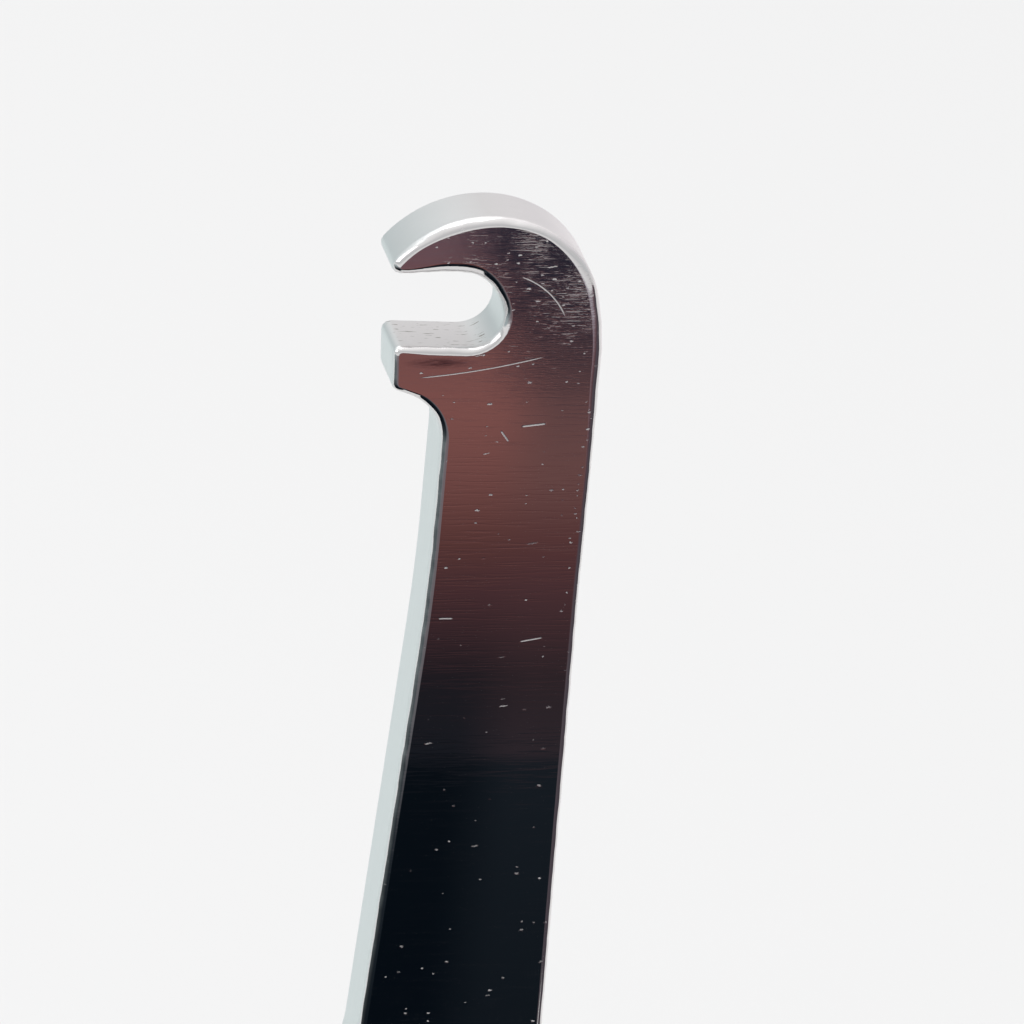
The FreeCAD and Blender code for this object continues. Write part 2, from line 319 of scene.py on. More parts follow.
# %% [markdown]
# ## From outline to plate
# The straight runs are cut into short steps, so that the edge rounding can later waver a little, as a
# hand-held buffing wheel leaves it. The outline is then filled and extruded to the plate's
# thickness. The prongs are ground thinner towards their tips: bisecting the plate into bands gives
# them the vertices to bend on, and each one is moved to the grinding wheel's arc.

# %% Cut the long runs, fill and extrude
def pick_edges(piece, wanted):
    """Selects the edges for which wanted(edge) is true, and nothing else."""
    mesh = bmesh.from_edit_mesh(piece.data)
    mesh.normal_update()
    bpy.ops.mesh.select_mode(type="EDGE")
    for part in (*mesh.verts, *mesh.edges, *mesh.faces):
        part.select = False
    chosen = [edge for edge in mesh.edges if wanted(edge)]
    for edge in chosen:
        edge.select_set(True)
    bmesh.update_edit_mesh(piece.data)
    return len(chosen)


longest = max(edge.calc_length() for edge in bmesh.from_edit_mesh(plate.data).edges)
while longest > 1.5 * STROKE * MM:
    pick_edges(plate, lambda edge: edge.calc_length() > 1.5 * STROKE * MM)
    bpy.ops.mesh.subdivide(number_cuts=1)
    longest = max(edge.calc_length() for edge in bmesh.from_edit_mesh(plate.data).edges)
bpy.ops.mesh.select_all(action="SELECT")
bpy.ops.mesh.edge_face_add()
bpy.ops.mesh.extrude_region_move(TRANSFORM_OT_translate={"value": (0, 2 * half_plate * MM, 0)})
bpy.ops.mesh.select_all(action="SELECT")
bpy.ops.mesh.normals_make_consistent(inside=False)
print("blank:", len(bmesh.from_edit_mesh(plate.data).faces), "faces")

# %% Bisect the prongs into bands and grind them thinner
GRIND_BANDS = 16
for band in range(GRIND_BANDS):
    bpy.ops.mesh.select_all(action="SELECT")
    band_height = prong_length * (1 - (band + 0.5) / GRIND_BANDS)
    bpy.ops.mesh.bisect(plane_co=(0, 0, band_height * MM), plane_no=(0, 0, 1))
bpy.ops.object.mode_set(mode="OBJECT")

relief = half_plate - tip_thickness / 2
grind_radius = (prong_length ** 2 + relief ** 2) / (2 * relief)


def half_thickness(z):
    """Half of the plate's thickness at height z, in millimetres."""
    below = max(0.0, prong_length - z)
    return half_plate - grind_radius + math.sqrt(grind_radius ** 2 - below ** 2)


for vertex in plate.data.vertices:
    vertex.co.y *= half_thickness(vertex.co.z / MM) / half_plate
print("plate:", len(plate.data.vertices), "vertices")


# %% [markdown]
# ## Rounded edges
# Stamped blanks come off the press with a sharp rim, and tumbling and buffing round it, more on the
# front than on the back. A bevel of several segments does the same. On the front it follows the
# edges' bevel weights, because the wheel takes most off the hook's crown and the slot's roof. A bevel
# folds over itself where its width jumps, so the width changes slowly along each arc.

# %% Pick the rims
def rim_of(side):
    """A test for the edges where the front (-1) or the back (+1) meets the plate's walls."""
    def on_rim(edge):
        if len(edge.link_faces) != 2:
            return False
        across = sorted(face.normal.y * side for face in edge.link_faces)
        return across[0] < 0.5 and across[1] > 0.9
    return on_rim


def apply_modifiers(piece):
    bpy.ops.object.select_all(action="DESELECT")
    piece.select_set(True)
    bpy.context.view_layer.objects.active = piece
    for modifier in list(piece.modifiers):
        bpy.ops.object.modifier_apply(modifier=modifier.name)


bpy.ops.object.mode_set(mode="EDIT")
print("front rim:", pick_edges(plate, rim_of(-1)), "edges")
bpy.ops.object.mode_set(mode="OBJECT")


# %% How much the wheel takes off the front rim
def climb(value, first, last):
    """0 at first, 1 at last, and a smooth climb from one to the other."""
    share = min(1.0, max(0.0, (value - first) / (last - first)))
    return share * share * (3 - 2 * share)


roof_extra = 0.45
crown_extra = 0.15
shoulder_extra = 0.25
jaw_less = 0.12


def local_rounding(x, z):
    """Radius of the front rounding at a place on the outline, in millimetres."""
    if x > slot_end + 0.5:
        return front_rounding + shoulder_extra * climb(x, 0.0, 4.4) * climb(z, floor - 9.0, floor - 1.0)
    if z < floor - 6.0:
        return front_rounding
    past_tip = climb(x, tip_centre[0] + 0.4, tip_centre[0] + 3.4)
    if z > slot_height and math.dist((x, z), crown_centre) > crown_radius - 1.0:
        return front_rounding + crown_extra * past_tip * (1 - climb(x, -6.5, -1.0))
    if z > roof_centre[1]:
        turn = math.degrees(math.atan2(z - roof_centre[1], x - roof_centre[0]))
        return front_rounding + roof_extra * past_tip * climb(turn, 16, 78)
    return front_rounding - jaw_less * (1 - climb(x, jaw_end + 0.8, jaw_end + 2.8))


print("roof rounding:", local_rounding(roof_centre[0], roof), "mm")

# %% Round the front by weight and the back evenly
widest = front_rounding + roof_extra
weights = plate.data.attributes.new("bevel_weight_edge", "FLOAT", "EDGE")
for edge in plate.data.edges:
    if edge.select:
        first, last = (plate.data.vertices[i].co / MM for i in edge.vertices)
        rounding = local_rounding((first.x + last.x) / 2, (first.z + last.z) / 2)
        weights.data[edge.index].value = rounding / widest
worn_rim = plate.modifiers.new("worn_rim", "BEVEL")
worn_rim.width = widest * MM
worn_rim.segments = 6
worn_rim.limit_method = "WEIGHT"
worn_rim.use_clamp_overlap = False
apply_modifiers(plate)

bpy.ops.object.mode_set(mode="EDIT")
count = pick_edges(plate, rim_of(1))
bpy.ops.mesh.bevel(offset=back_rounding * MM, offset_type="OFFSET", segments=4, profile=0.5,
                   affect="EDGES", clamp_overlap=False)
bpy.ops.object.mode_set(mode="OBJECT")
print("rounded", count, "edges of the back")

# %% [markdown]
# ## Turned shapes
# The seat, its magnet and the marker are all round, and all turned or pressed about one axis through
# the head. A half profile spun about that axis makes each of them, as a lathe would.


# %% A lathe
def lathe(name, profile, steps=144, centre=head_centre):
    """Spins a profile, places of (radius, y) in millimetres, about an axis through the plate."""
    pen = Pen(name, (profile[0][0] + centre.x, centre.z))
    bpy.ops.transform.translate(value=(0, (half_plate + profile[0][1]) * MM, 0))
    for (radius, y), (next_radius, next_y) in zip(profile, profile[1:]):
        step = ((next_radius - radius) * MM, (next_y - y) * MM, 0)
        bpy.ops.mesh.extrude_region_move(TRANSFORM_OT_translate={"value": step})
    bpy.ops.mesh.select_all(action="SELECT")
    bpy.ops.mesh.spin(steps=steps, angle=2 * math.pi, axis=(0, 1, 0), center=centre * MM)
    bpy.ops.mesh.select_all(action="SELECT")
    bpy.ops.mesh.remove_doubles(threshold=0.001 * MM)
    bpy.ops.mesh.normals_make_consistent(inside=False)
    bpy.ops.object.mode_set(mode="OBJECT")
    return pen.piece


def arc_points(centre, radius, first, last, count):
    """Places of (radius, y) along an arc of a profile. Angles are in degrees from the radius axis."""
    angles = [math.radians(first + (last - first) * i / count) for i in range(count + 1)]
    return [(centre[0] + radius * math.cos(a), centre[1] + radius * math.sin(a)) for a in angles]


def soften(piece, width, segments=3):
    """Rounds a piece's sharp edges."""
    bevel = piece.modifiers.new("soften", "BEVEL")
    bevel.width = width * MM
    bevel.segments = segments
    bevel.limit_method = "ANGLE"
    bevel.angle_limit = math.radians(35)
    bevel.harden_normals = False
    apply_modifiers(piece)


def smooth(piece, angle=35):
    """Smooth shading, with flat faces kept flat next to their roundings."""
    bpy.ops.object.select_all(action="DESELECT")
    piece.select_set(True)
    bpy.context.view_layer.objects.active = piece
    bpy.ops.object.shade_smooth_by_angle(angle=math.radians(angle))
    weighted = piece.modifiers.new("weighted", "WEIGHTED_NORMAL")
    weighted.keep_sharp = True
    apply_modifiers(piece)


print(f"lathe axis {head_centre.z:.2f} mm above the prongs' tips")

# %% [markdown]
# ## The marker's seat
# The seat is a shallow round pocket with a rolled edge, a smaller pocket for the magnet in its floor,
# and a ball-milled scoop above it that lets a fingernail under the coin. Each cutter is turned with
# its rolled edge already on it, then taken away from the plate with a Boolean.

# %% Cut the seat, the magnet's pocket and the scoop
seat_clearance = 0.15
seat_edge = 0.2
pocket_clearance = 0.06
nail_radius = 4.5
nail_undercut = 0.25
nail_offset = 1.0
seat_radius = coin_radius + seat_clearance
pocket_radius = magnet_high.x + pocket_clearance
pocket_floor = bond_high.y
above = -half_plate - 1.0

seat_cutter = lathe("seat_cutter", [
    (0.0, pocket_floor), (pocket_radius, pocket_floor), (pocket_radius, seat_floor),
    (seat_radius, seat_floor),
    *arc_points((seat_radius + seat_edge, -half_plate + seat_edge), seat_edge, 180, 270, 5),
    (seat_radius + seat_edge, above), (0.0, above)], steps=192)

ball_y = seat_floor + nail_undercut - nail_radius
lip_y = -half_plate + seat_edge
lip_x = math.sqrt((nail_radius + seat_edge) ** 2 - (lip_y - ball_y) ** 2)
lip_angle = math.degrees(math.atan2(lip_y - ball_y, lip_x))
scoop_cutter = lathe("scoop_cutter", [
    *arc_points((0.0, ball_y), nail_radius, 90, lip_angle, 16),
    *arc_points((lip_x, lip_y), seat_edge, 180 + lip_angle, 270, 4),
    (lip_x, above), (0.0, above)], steps=96,
    centre=head_centre + Vector((0, 0, seat_radius + nail_offset)))

for cutter in (seat_cutter, scoop_cutter):
    cut = plate.modifiers.new("cut", "BOOLEAN")
    cut.operation = "DIFFERENCE"
    cut.solver = "EXACT"
    cut.object = cutter
    apply_modifiers(plate)
    bpy.data.objects.remove(cutter)
print("plate after cutting:", len(plate.data.vertices), "vertices")

# %% [markdown]
# ## The buffed edge
# A wheel pressed by hand doesn't follow an edge evenly. A Displace modifier with a soft noise moves
# only the vertices of the front rounding, by up to a tenth of a millimetre round the slot and less
# elsewhere, which is what makes the light along a real buffed edge break up.

# %% Waver the front rounding
wheel = bpy.data.textures.new("buffing_wheel", "CLOUDS")
wheel.noise_scale = 1.0 * MM
wheel.noise_depth = 1
rounding_group = plate.vertex_groups.new(name="front_rounding")
margin = 0.02               # the rounding's own rims stay put
off_slot_share = 0.4        # the waver is weaker away from the slot
for vertex in plate.data.vertices:
    x, y, z = vertex.co / MM
    depth = y + half_thickness(z)
    clear_of_seat = math.dist((x, z), head) > head_radius - 1.0 or z > head[1] + head_radius
    by_slot = z > floor - 1.0 and x < 1.0
    rounding = local_rounding(x, z)
    if margin < depth < rounding - margin and clear_of_seat:
        strength = math.sin(math.pi * depth / rounding) * (1.0 if by_slot else off_slot_share)
        rounding_group.add([vertex.index], strength, "REPLACE")
waver = plate.modifiers.new("waver", "DISPLACE")
waver.texture = wheel
waver.texture_coords = "LOCAL"
waver.mid_level = 0.5
waver.strength = 0.22 * MM
waver.vertex_group = "front_rounding"
print(f"edge wavers over {wheel.noise_scale / MM:.1f} mm by up to {waver.strength / 2 / MM:.2f} mm")
apply_modifiers(plate)
smooth(plate)

# %% [markdown]
# ## The coin
# A ball marker is a stamped steel disc. Its face carries a rim, a ring and a sighting bar, which are
# metal walls that keep two colours of enamel apart. The walls are turned with the disc, and the bar is
# a long block joined to it.

# %% Stamp the coin
rim_inner = band_high.x
ring_inner = field_high.x
ring_outer = ring_inner + 0.6
enamel_floor = band_high.y
bar_width = 0.6
coin = lathe("ball_marker_coin", [
    (0.0, enamel_floor), (ring_inner, enamel_floor), (ring_inner, marker_top), (ring_outer, marker_top),
    (ring_outer, enamel_floor), (rim_inner, enamel_floor), (rim_inner, marker_top),
    (coin_radius, marker_top), (coin_radius, seat_floor), (0.0, seat_floor)])

bpy.ops.object.select_all(action="DESELECT")
bpy.ops.mesh.primitive_cube_add(size=1)
bar = bpy.context.object
bpy.ops.object.mode_set(mode="EDIT")
bpy.ops.mesh.select_all(action="SELECT")
bpy.ops.transform.resize(value=(bar_width * MM, (enamel_floor - marker_top + 0.1) * MM,
                                (2 * ring_inner + 0.3) * MM))
bpy.ops.transform.translate(value=(0, (marker_top + enamel_floor + 0.1) / 2 * MM, head_centre.z * MM))
bpy.ops.object.mode_set(mode="OBJECT")
weld = coin.modifiers.new("weld", "BOOLEAN")
weld.operation = "UNION"
weld.solver = "EXACT"
weld.object = bar
apply_modifiers(coin)
bpy.data.objects.remove(bar)
soften(coin, 0.09)
smooth(coin)
print("coin:", len(coin.data.vertices), "vertices")

# %% [markdown]
# ## Enamel and its resin cap
# Soft enamel is poured between the walls and shrinks as it cures, so its surface sinks a little in the
# middle and climbs the walls. The resin cap is a drop that stops at the rim and stands proud of it.


# %% Pour the enamel
def sagging(first, last, sag, count=6):
    """Places across a pour from one wall to the next, sunk by sag in the middle."""
    places = []
    for i in range(count + 1):
        share = i / count
        y = marker_top + 0.02 + sag * 4 * share * (1 - share)
        places.append((first + (last - first) * share, y))
    return places


wall_gap = 0.005
band = lathe("enamel_band", [
    (ring_outer + wall_gap, enamel_floor), *sagging(ring_outer + wall_gap, rim_inner - wall_gap, 0.10),
    (rim_inner - wall_gap, enamel_floor), (ring_outer + wall_gap, enamel_floor)])
smooth(band)

field_edge = ring_inner - wall_gap
field_surface = reversed(sagging(-ring_inner, field_edge, 0.08, 16))
field = lathe("enamel_field", [
    (0.0, enamel_floor), (field_edge, enamel_floor), (field_edge, marker_top + 0.02),
    *[(radius, y) for radius, y in field_surface if 0 < radius < field_edge - wall_gap],
    (0.0, marker_top + 0.10)])
halves = []
for side in (-1, 1):
    bpy.ops.object.select_all(action="DESELECT")
    half = field.copy()
    half.data = field.data.copy()
    bpy.context.scene.collection.objects.link(half)
    half.select_set(True)
    bpy.context.view_layer.objects.active = half
    bpy.ops.object.mode_set(mode="EDIT")
    bpy.ops.mesh.select_all(action="SELECT")
    bpy.ops.mesh.bisect(plane_co=(side * (bar_width / 2 + wall_gap) * MM, 0, 0), plane_no=(side, 0, 0),
                        use_fill=True, clear_inner=True)
    bpy.ops.object.mode_set(mode="OBJECT")
    halves.append(half)
bpy.data.objects.remove(field)
bpy.ops.object.select_all(action="DESELECT")
for half in halves:
    half.select_set(True)
bpy.context.view_layer.objects.active = halves[0]
bpy.ops.object.join()
field = halves[0]
field.name = "enamel_field"
smooth(field)
print("enamel:", len(band.data.polygons) + len(field.data.polygons), "faces")

# %% Pour the resin cap
dome_radius = dome_high.x
dome_height = marker_top - dome_low.y
cap_radius = (dome_radius ** 2 + dome_height ** 2) / (2 * dome_height)
cap_angle = math.degrees(math.asin(dome_radius / cap_radius))
dome = lathe("resin_cap", [
    (0.0, marker_top), (dome_radius, marker_top),
    *arc_points((0.0, dome_low.y + cap_radius), cap_radius, -90 + cap_angle, -90, 24)[1:]])
smooth(dome, 60)
print(f"resin cap {dome_height:.2f} mm high over a radius of {dome_radius:.2f} mm")

# %% [markdown]
# ## The magnet and its adhesive
# A sintered disc magnet is plated with nickel and has small chamfers. It is set in a drop of adhesive
# that squeezes up round its edge and shows as a dark line in the gap.

# %% Make the magnet and its adhesive
magnet = lathe("disc_magnet", [(0.0, magnet_low.y), (magnet_high.x, magnet_low.y),
                               (magnet_high.x, magnet_high.y), (0.0, magnet_high.y)])
soften(magnet, 0.12)
smooth(magnet)
squeeze = magnet_low.y + 0.18
bond = lathe("magnet_adhesive_ring", [
    (0.0, bond_low.y), (magnet_high.x + 0.01, bond_low.y), (magnet_high.x + 0.01, squeeze),
    (magnet_high.x + 0.03, squeeze + 0.03), (pocket_radius - 0.005, squeeze),
    (pocket_radius - 0.005, bond_high.y), (0.0, bond_high.y)])
smooth(bond)
print("magnet face at", round(magnet_low.y, 2), "mm")


# %% [markdown]
# ## Finishes
# Every finish is a node tree on one Principled shader. One helper adds a node with its settings and
# links, and one turns the usual hex colours into the linear numbers that the shader wants.

# %% Helpers for materials
def colour(hex_code):
    """Linear RGBA from an sRGB hex code."""
    channels = [int(hex_code[i:i + 2], 16) / 255 for i in (1, 3, 5)]
    linear = [c / 12.92 if c <= 0.04045 else ((c + 0.055) / 1.055) ** 2.4 for c in channels]
    return (*linear, 1.0)


def add(tree, kind, links=None, stops=(), **settings):
    """Adds a node of a kind, which is its type without ShaderNode. links maps an input to a constant, a
    socket, or a node, whose first output is taken. stops are a colour ramp's places and colours."""
    node = tree.nodes.new("ShaderNode" + kind)
    for key, value in settings.items():
        setattr(node, key, value)
    for key, value in (links or {}).items():
        if isinstance(value, bpy.types.Node):
            value = value.outputs[0]
        if isinstance(value, bpy.types.NodeSocket):
            tree.links.new(value, node.inputs[key])
        else:
            node.inputs[key].default_value = value
    while stops and len(node.color_ramp.elements) < len(stops):
        node.color_ramp.elements.new(0.5)
    for number, (position, value) in enumerate(stops):
        node.color_ramp.elements[number].position = position
        node.color_ramp.elements[number].color = value
    return node


def finish_material(name):
    """A new material with its tree, its Principled shader and object coordinates in millimetres."""
    material = bpy.data.materials.new(name)
    material.use_nodes = True
    tree = material.node_tree
    shader = tree.nodes["Principled BSDF"]
    place = add(tree, "TexCoord").outputs["Object"]
    in_mm = add(tree, "VectorMath", {0: place, 1: (1000, 1000, 1000)}, operation="MULTIPLY")
    return material, tree, shader, in_mm


def streaks(tree, in_mm, spacing, threshold, soft):
    """Thin marks: 1 on a mark and 0 off it. spacing is the marks' size along X, Y and Z in mm."""
    scaled = add(tree, "VectorMath", {0: in_mm, 1: tuple(1 / s for s in spacing)}, operation="MULTIPLY")
    cloud = add(tree, "TexNoise", {"Vector": scaled, "Scale": 1.0, "Detail": 2.0})
    return add(tree, "MapRange", {"Value": cloud, "From Min": threshold, "From Max": threshold + soft},
               interpolation_type="SMOOTHSTEP")


print("helpers ready")

# %% [markdown]
# ## Buffed stainless steel
# 304 stainless plate, mirror-buffed on its face. The face is nearly a mirror, so what the eye reads
# is its wear: fine marks across the tool, thickest round the hook, nicks of 0.3 to 0.8 mm that crowd
# down its right edge, and a few deeper scratches. The walls keep the fine lines of the belt that
# ground them, which run round the plate, and the back is brushed lengthwise. Which finish a place
# has follows from the way it faces, so one tree holds all three.


# %% A scratch between two places
def scratch(tree, in_mm, start, end, width, bow=0.0):
    """1 on a thin scratch on the front face, between two places of (x, height above the slot)."""
    middle = ((start[0] + end[0]) / 2, 0.0, slot_height + (start[1] + end[1]) / 2)
    turn = math.atan2(end[1] - start[1], end[0] - start[0])
    half = math.dist(start, end) / 2
    centred = add(tree, "VectorMath", {0: in_mm, 1: middle}, operation="SUBTRACT")
    turned = add(tree, "VectorRotate", {"Vector": centred, "Angle": turn}, rotation_type="Y_AXIS")
    split = add(tree, "SeparateXYZ", {0: turned})
    run = add(tree, "Math", {0: split.outputs["X"], 1: half}, operation="DIVIDE")
    squared = add(tree, "Math", {0: run, 1: run}, operation="MULTIPLY")
    sag = add(tree, "Math", {0: squared, 1: -bow, 2: bow}, operation="MULTIPLY_ADD")
    off_line = add(tree, "Math", {0: split.outputs["Z"], 1: sag}, operation="SUBTRACT")
    aside = add(tree, "Math", {0: off_line}, operation="ABSOLUTE")
    across = add(tree, "MapRange", {"Value": aside, "From Min": width, "From Max": 0.3 * width})
    reach = add(tree, "Math", {0: run}, operation="ABSOLUTE")
    ends = add(tree, "MapRange", {"Value": reach, "From Min": 1.0, "From Max": 0.7})
    return add(tree, "Math", {0: across, 1: ends}, operation="MULTIPLY")


print("scratches can be placed one by one")

# %% Nicks scattered over the face
def nicks(tree, flat, spacing, size, turn, share):
    """1 on a nick and 0 off it. spacing and size are along and across it in mm, turn is in degrees, and
    share says how many places of the grid hold one."""
    stretch = (spacing[0] / size[0], spacing[1] / size[1], 0)
    turned = add(tree, "VectorRotate", {"Vector": flat, "Angle": -math.radians(turn)},
                 rotation_type="Z_AXIS")
    cells = add(tree, "VectorMath", {0: turned, 1: (1 / spacing[0], 1 / spacing[1], 0)},
                operation="MULTIPLY")
    grid = add(tree, "TexVoronoi", {"Vector": cells, "Scale": 1.0}, voronoi_dimensions="2D")
    offset = add(tree, "VectorMath", {0: cells, 1: grid.outputs["Position"]}, operation="SUBTRACT")
    in_sizes = add(tree, "VectorMath", {0: offset, 1: stretch}, operation="MULTIPLY")
    length = add(tree, "VectorMath", {0: in_sizes}, operation="LENGTH").outputs["Value"]
    chance = add(tree, "SeparateXYZ", {0: grid.outputs["Color"]})
    shrink = add(tree, "Math", {0: chance.outputs["Z"], 1: 1.4, 2: 0.7}, operation="MULTIPLY_ADD")
    reach = add(tree, "Math", {0: length, 1: shrink}, operation="MULTIPLY")
    mark = add(tree, "MapRange", {"Value": reach, "From Min": 1.0, "From Max": 0.5})
    strength = add(tree, "Math", {0: chance.outputs["Y"], 1: 0.8, 2: 0.2}, operation="MULTIPLY_ADD")
    depth = add(tree, "Math", {0: mark, 1: strength}, operation="MULTIPLY")
    held = add(tree, "Math", {0: chance.outputs["X"], 1: share}, operation="LESS_THAN")
    return add(tree, "Math", {0: depth, 1: held}, operation="MULTIPLY")


print("nicks can be scattered")

# %% Steel: which way a place faces
steel, tree, shader, in_mm = finish_material("buffed_stainless_304")
facing = add(tree, "SeparateXYZ", {0: add(tree, "TexCoord").outputs["Normal"]})
place = add(tree, "SeparateXYZ", {0: in_mm})
is_front = add(tree, "MapRange", {"Value": facing.outputs["Y"], "From Min": -0.35, "From Max": -0.75})
is_back = add(tree, "MapRange", {"Value": facing.outputs["Y"], "From Min": 0.5, "From Max": 0.9})
print("front, back and walls told apart")

# %% Steel: fine marks across the face, thick round the hook and thinning below it
hook_wear = add(tree, "MapRange", {"Value": place.outputs["Z"], "From Min": slot_height - 9,
                                   "From Max": slot_height + 1})
right_wear = add(tree, "MapRange", {"Value": place.outputs["X"], "From Min": -12.0, "From Max": -2.0})
cloud = add(tree, "TexNoise", {"Vector": in_mm, "Scale": 0.22, "Detail": 3.0})
patches = add(tree, "MapRange", {"Value": cloud, "From Min": 0.3, "From Max": 0.6})
wear = add(tree, "Math", {0: hook_wear, 1: right_wear}, operation="MULTIPLY")
wear = add(tree, "Math", {0: wear, 1: patches}, operation="MULTIPLY")
dense_marks = streaks(tree, in_mm, (0.55, 5.0, 0.06), 0.38, 0.34)
bright_marks = streaks(tree, in_mm, (1.1, 5.0, 0.07), 0.55, 0.2)
faint_marks = streaks(tree, in_mm, (3.0, 5.0, 0.12), 0.45, 0.35)
print("marks 0.06 to 0.12 mm wide")

# %% Steel: ragged specks and dashes, most of them down the right edge, where the tool is knocked
edge_wear = add(tree, "MapRange", {"Value": place.outputs["X"], "From Min": 3.2, "From Max": 4.4})
below_hook = add(tree, "MapRange", {"Value": place.outputs["Z"], "From Min": slot_height - 26,
                                    "From Max": slot_height - 18})
knocked = add(tree, "Math", {0: edge_wear, 1: below_hook}, operation="MULTIPLY")
nick_share = add(tree, "Math", {0: knocked, 1: 0.5, 2: 0.06}, operation="MULTIPLY_ADD")
nick_share = add(tree, "Math", {0: wear, 1: 0.35, 2: nick_share}, operation="MULTIPLY_ADD")
dash_share = add(tree, "Math", {0: nick_share, 1: 0.9}, operation="MULTIPLY")
fray = add(tree, "TexNoise", {"Vector": in_mm, "Scale": 9.0, "Detail": 1.0}).outputs["Color"]
frayed = add(tree, "VectorMath", {0: fray, 1: (0.16, 0, 0.16), 2: in_mm}, operation="MULTIPLY_ADD")
split = add(tree, "SeparateXYZ", {0: frayed})
flat = add(tree, "CombineXYZ", {"X": split.outputs["X"], "Y": split.outputs["Z"]})
specks = nicks(tree, flat, (0.8, 0.6), (0.14, 0.06), 0.0, nick_share)
dashes = nicks(tree, flat, (2.6, 1.6), (0.42, 0.05), 10.0, dash_share)
print("specks 0.3 mm and dashes 0.8 mm long")

# %% Steel: the deeper scratches
cuts = [
    scratch(tree, in_mm, (-7.4, -4.7), (0.9, -3.2), 0.04, -0.2),
    scratch(tree, in_mm, (-1.4, 2.6), (1.9, -0.4), 0.05, 0.45),
    scratch(tree, in_mm, (-0.2, -8.3), (1.5, -8.1), 0.07),
    scratch(tree, in_mm, (-1.5, -8.6), (-0.9, -9.4), 0.06),
    scratch(tree, in_mm, (-4.2, -22.4), (-3.2, -22.4), 0.05),
    scratch(tree, in_mm, (1.4, -24.2), (3.0, -23.9), 0.05),
]
print(len(cuts), "scratches")

# %% Steel: roughness. Belt lines run round the walls, and brush lines run down the back
dense_wear = add(tree, "Math", {0: wear, 1: 0.20}, operation="MULTIPLY")
bright_wear = add(tree, "Math", {0: wear, 1: 0.30}, operation="MULTIPLY")
dense = add(tree, "Math", {0: dense_marks, 1: dense_wear}, operation="MULTIPLY")
bright = add(tree, "Math", {0: bright_marks, 1: bright_wear}, operation="MULTIPLY")
faint = add(tree, "Math", {0: faint_marks, 1: 0.10}, operation="MULTIPLY")
worn = dense
for mark in (bright, faint, specks, dashes, *cuts):
    worn = add(tree, "Math", {0: worn, 1: mark}, operation="MAXIMUM")
face_roughness = add(tree, "Math", {0: worn, 1: 0.42, 2: 0.035}, operation="MULTIPLY_ADD")

round_walls = add(tree, "VectorMath", {0: in_mm, 1: (0.35, 9.0, 0.35)}, operation="MULTIPLY")
belt = add(tree, "TexNoise", {"Vector": round_walls, "Scale": 1.0, "Detail": 3.0})
wall_roughness = add(tree, "Math", {0: belt, 1: 0.22, 2: 0.27}, operation="MULTIPLY_ADD")
down_back = add(tree, "VectorMath", {0: in_mm, 1: (9.0, 0.3, 0.12)}, operation="MULTIPLY")
brush = add(tree, "TexNoise", {"Vector": down_back, "Scale": 1.0, "Detail": 3.0})
back_roughness = add(tree, "Math", {0: brush, 1: 0.22, 2: 0.20}, operation="MULTIPLY_ADD")
off_face = add(tree, "Mix", {"Factor": is_back, "A": wall_roughness, "B": back_roughness})
roughness = add(tree, "Mix", {"Factor": is_front, "A": off_face, "B": face_roughness})
tree.links.new(roughness.outputs["Result"], shader.inputs["Roughness"])
print("belt and brush lines 0.1 mm apart")

# %% Steel: colour, with painted light and shade on the walls by the way they face. The slot's floor has dark dashes left by the blade, and a stain below its edge
# Painted light and shade: a wall that faces left is painted a cool grey, and a wall that faces right is
# painted a near-white highlight.
rightwards = add(tree, "MapRange", {"Value": facing.outputs["X"], "From Min": -1.0, "From Max": 0.6})
wall_painted_light = add(tree, "ValToRGB", {0: rightwards}, stops=(
    (0.0, colour("#D3DDDD")), (0.6, colour("#D8D6D6")), (1.0, colour("#F6F0F1"))))
upward = add(tree, "Math", {0: facing.outputs["Z"], 1: 0.8}, operation="GREATER_THAN")
under_roof = add(tree, "Math", {0: place.outputs["Z"], 1: slot_height}, operation="LESS_THAN")
on_shelf = add(tree, "Math", {0: upward, 1: under_roof}, operation="MULTIPLY")
blade_marks = streaks(tree, in_mm, (0.9, 0.12, 5.0), 0.62, 0.08)
shelf_marks = add(tree, "Math", {0: blade_marks, 1: on_shelf}, operation="MULTIPLY")
marked = add(tree, "Mix", {"Factor": shelf_marks, "A": wall_painted_light.outputs["Color"],
                           "B": colour("#8C8A84")}, data_type="RGBA")
tone = add(tree, "Mix", {"Factor": is_front, "A": marked.outputs[2], "B": colour("#DCDADA")},
           data_type="RGBA")

from_stain = add(tree, "VectorMath", {0: frayed, 1: (-6.0, 0, floor - 0.9)}, operation="SUBTRACT")
in_stain_sizes = add(tree, "VectorMath", {0: from_stain, 1: (0.4, 0, 2.2)}, operation="MULTIPLY")
reach = add(tree, "VectorMath", {0: in_stain_sizes}, operation="LENGTH").outputs["Value"]
stain = add(tree, "MapRange", {"Value": reach, "From Min": 1.0, "From Max": 0.2, "To Max": 0.7})
unmarked = add(tree, "Math", {0: dense_marks, 1: -0.9, 2: 1.25}, operation="MULTIPLY_ADD")
stain = add(tree, "Math", {0: stain, 1: unmarked}, operation="MULTIPLY")
stain = add(tree, "Math", {0: stain, 1: is_front}, operation="MULTIPLY")
stained = add(tree, "Mix", {"Factor": stain, "A": tone.outputs[2], "B": colour("#6C6474")},
              data_type="RGBA")
tree.links.new(stained.outputs[2], shader.inputs["Base Color"])
shader.inputs["Metallic"].default_value = 1.0
# The cool left and warm right of the walls are painted light and shade.
print("walls cool on the left and warm on the right")

# %% Steel: relief. Marks are cut in, and the belt and brush lines stand a little
lines = add(tree, "Mix", {"Factor": is_back, "A": belt, "B": brush})
cut_in = add(tree, "Math", {0: worn, 1: -1.0}, operation="MULTIPLY")
relief_height = add(tree, "Mix", {"Factor": is_front, "A": lines, "B": cut_in})
bump = add(tree, "Bump", {"Height": relief_height, "Strength": 0.25, "Distance": 0.02 * MM})
tree.links.new(bump.outputs[0], shader.inputs["Normal"])
print("steel:", len(tree.nodes), "nodes")

